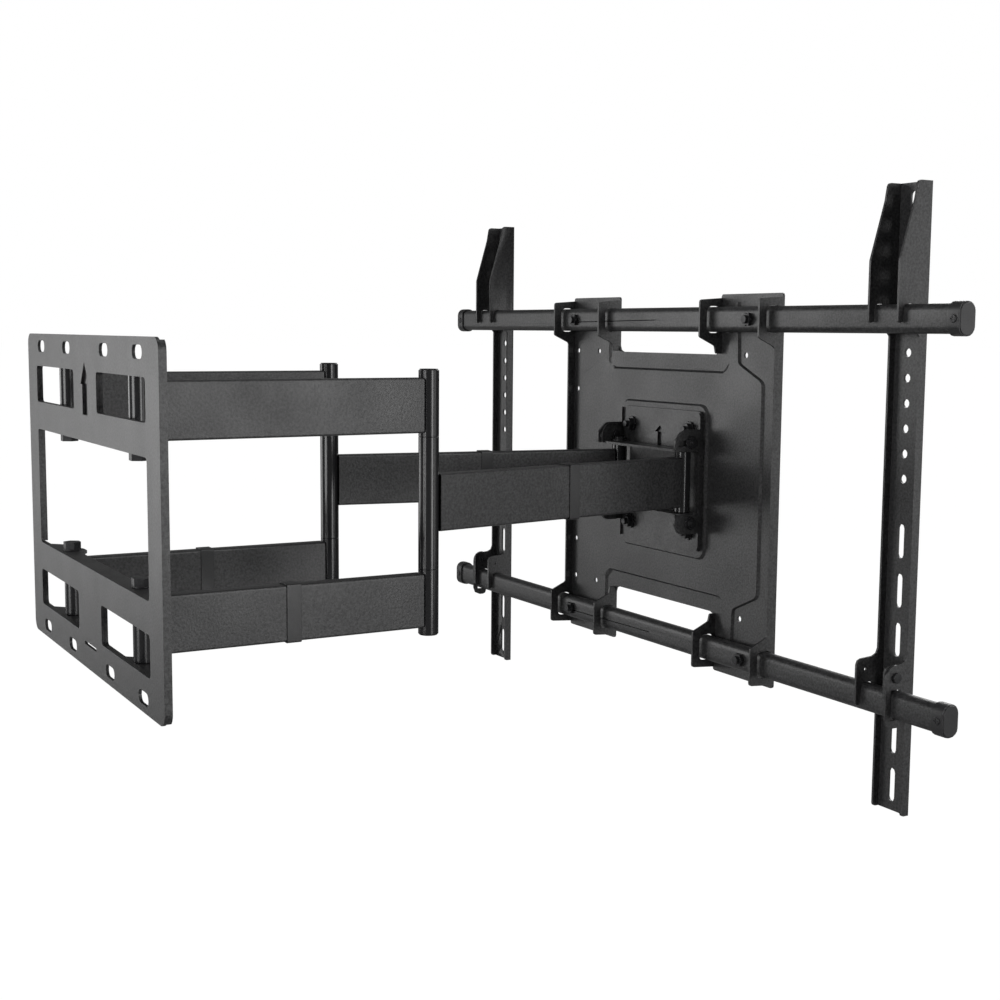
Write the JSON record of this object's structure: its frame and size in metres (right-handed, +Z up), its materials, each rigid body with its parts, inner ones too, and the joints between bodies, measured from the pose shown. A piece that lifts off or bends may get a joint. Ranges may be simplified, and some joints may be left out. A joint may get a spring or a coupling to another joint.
{
  "type": "full motion screen wall mount",
  "caption": "Dual-arm full-motion wall mount that holds a large flat screen and folds back, tilts and levels against the wall.",
  "frame": {"origin": "middle of the wall plate, in the plane of its face that lies on the wall", "axes": "+Z up, +Y into the wall, so the arms reach towards -Y; +X along the wall"},
  "size_m": [0.9892, 0.7125, 0.629],
  "materials": {
    "coat": "satin fine-textured black powder coat",
    "tube_coat": "semi-gloss black",
    "fastener": "black oxide",
    "plastic": "satin black"
  },
  "bodies": {
    "wall": {"wall_plate": "coat", "upper_channel": "coat", "lower_channel": "coat", "left_upper_wall_bolt": "fastener", "left_lower_wall_bolt": "fastener", "right_upper_wall_bolt": "fastener", "right_lower_wall_bolt": "fastener"},
    "left_arm": {"left_upper_arm_bar": "coat", "left_lower_arm_bar": "coat", "left_upper_wall_tube": "tube_coat", "left_lower_wall_tube": "tube_coat", "left_upper_elbow_tube": "tube_coat", "left_lower_elbow_tube": "tube_coat", "left_elbow_pin": "fastener", "left_arm_clip": "plastic"},
    "left_forearm": {"left_forearm_bar": "coat", "left_forearm_elbow_tube": "tube_coat", "left_forearm_head_tube": "tube_coat", "left_forearm_clip": "plastic"},
    "right_arm": {"right_upper_arm_bar": "coat", "right_lower_arm_bar": "coat", "right_upper_wall_tube": "tube_coat", "right_lower_wall_tube": "tube_coat", "right_upper_elbow_tube": "tube_coat", "right_lower_elbow_tube": "tube_coat", "right_elbow_pin": "fastener", "right_arm_clip": "plastic"},
    "right_forearm": {"right_forearm_bar": "coat", "right_forearm_elbow_tube": "tube_coat", "right_forearm_head_tube": "tube_coat", "right_forearm_clip": "plastic"},
    "swivel": {"swivel_bracket": "coat", "left_head_pin": "fastener", "right_head_pin": "fastener", "left_upper_tilt_bolt": "fastener", "left_lower_tilt_bolt": "fastener", "right_upper_tilt_bolt": "fastener", "right_lower_tilt_bolt": "fastener"},
    "screen": {"head_plate": "coat", "screen_plate": "coat", "upper_rail": "coat", "lower_rail": "coat", "left_upper_head_bolt": "fastener", "left_lower_head_bolt": "fastener", "right_upper_head_bolt": "fastener", "right_lower_head_bolt": "fastener", "left_upper_clamp_screw": "fastener", "left_lower_clamp_screw": "fastener", "right_upper_clamp_screw": "fastener", "right_lower_clamp_screw": "fastener", "left_upper_rail_cap": "plastic", "left_lower_rail_cap": "plastic", "right_upper_rail_cap": "plastic", "right_lower_rail_cap": "plastic"},
    "left_hanger": {"left_hanger": "coat", "left_latch_screw": "fastener"},
    "left_latch": {"left_latch": "coat"},
    "right_hanger": {"right_hanger": "coat", "right_latch_screw": "fastener"},
    "right_latch": {"right_latch": "coat"}
  },
  "joints": [
    {"name": "left_arm_fold", "type": "hinge", "parent": "wall", "child": "left_arm", "pos_m": [-0.1315, -0.0155, 0], "axis": [0, 0, -1], "range_deg": [0, 85]},
    {"name": "right_arm_fold", "type": "hinge", "parent": "wall", "child": "right_arm", "pos_m": [0.1315, -0.0155, 0], "axis": [0, 0, 1], "range_deg": [0, 85]},
    {"name": "left_elbow", "type": "hinge", "parent": "left_arm", "child": "left_forearm", "pos_m": [-0.1285, -0.3127, 0], "axis": [0, 0, 1], "range_deg": [0, 156.2]},
    {"name": "right_elbow", "type": "hinge", "parent": "right_arm", "child": "right_forearm", "pos_m": [0.1285, -0.3127, 0], "axis": [0, 0, -1], "range_deg": [0, 156.2]},
    {"name": "head_swivel", "type": "hinge", "parent": "left_forearm", "child": "swivel", "pos_m": [-0.066, -0.676, 0], "axis": [0, 0, -1], "range_deg": [0, 71.2]},
    {"name": "screen_tilt", "type": "hinge", "parent": "swivel", "child": "screen", "pos_m": [0, -0.676, -0.047], "axis": [1, 0, 0], "range_deg": [-3, 10]},
    {"name": "left_hanger_slide", "type": "slide", "parent": "screen", "child": "left_hanger", "axis": [1, 0, 0], "range_m": [-0.053, 0.155]},
    {"name": "right_hanger_slide", "type": "slide", "parent": "screen", "child": "right_hanger", "axis": [-1, 0, 0], "range_m": [-0.045, 0.182]},
    {"name": "left_latch_turn", "type": "hinge", "parent": "left_hanger", "child": "left_latch", "pos_m": [-0.411, -0.686, -0.163], "axis": [1, 0, 0], "range_deg": [0, 60]},
    {"name": "right_latch_turn", "type": "hinge", "parent": "right_hanger", "child": "right_latch", "pos_m": [0.441, -0.686, -0.163], "axis": [1, 0, 0], "range_deg": [0, 60]}
  ],
  "couplings": [
    {"joint": "right_arm_fold", "follows": "left_arm_fold", "ratio": 1},
    {"joint": "left_elbow", "follows": "left_arm_fold", "ratio": 1.836},
    {"joint": "right_elbow", "follows": "left_arm_fold", "ratio": 1.836},
    {"joint": "head_swivel", "follows": "left_arm_fold", "ratio": 0.836}
  ]
}
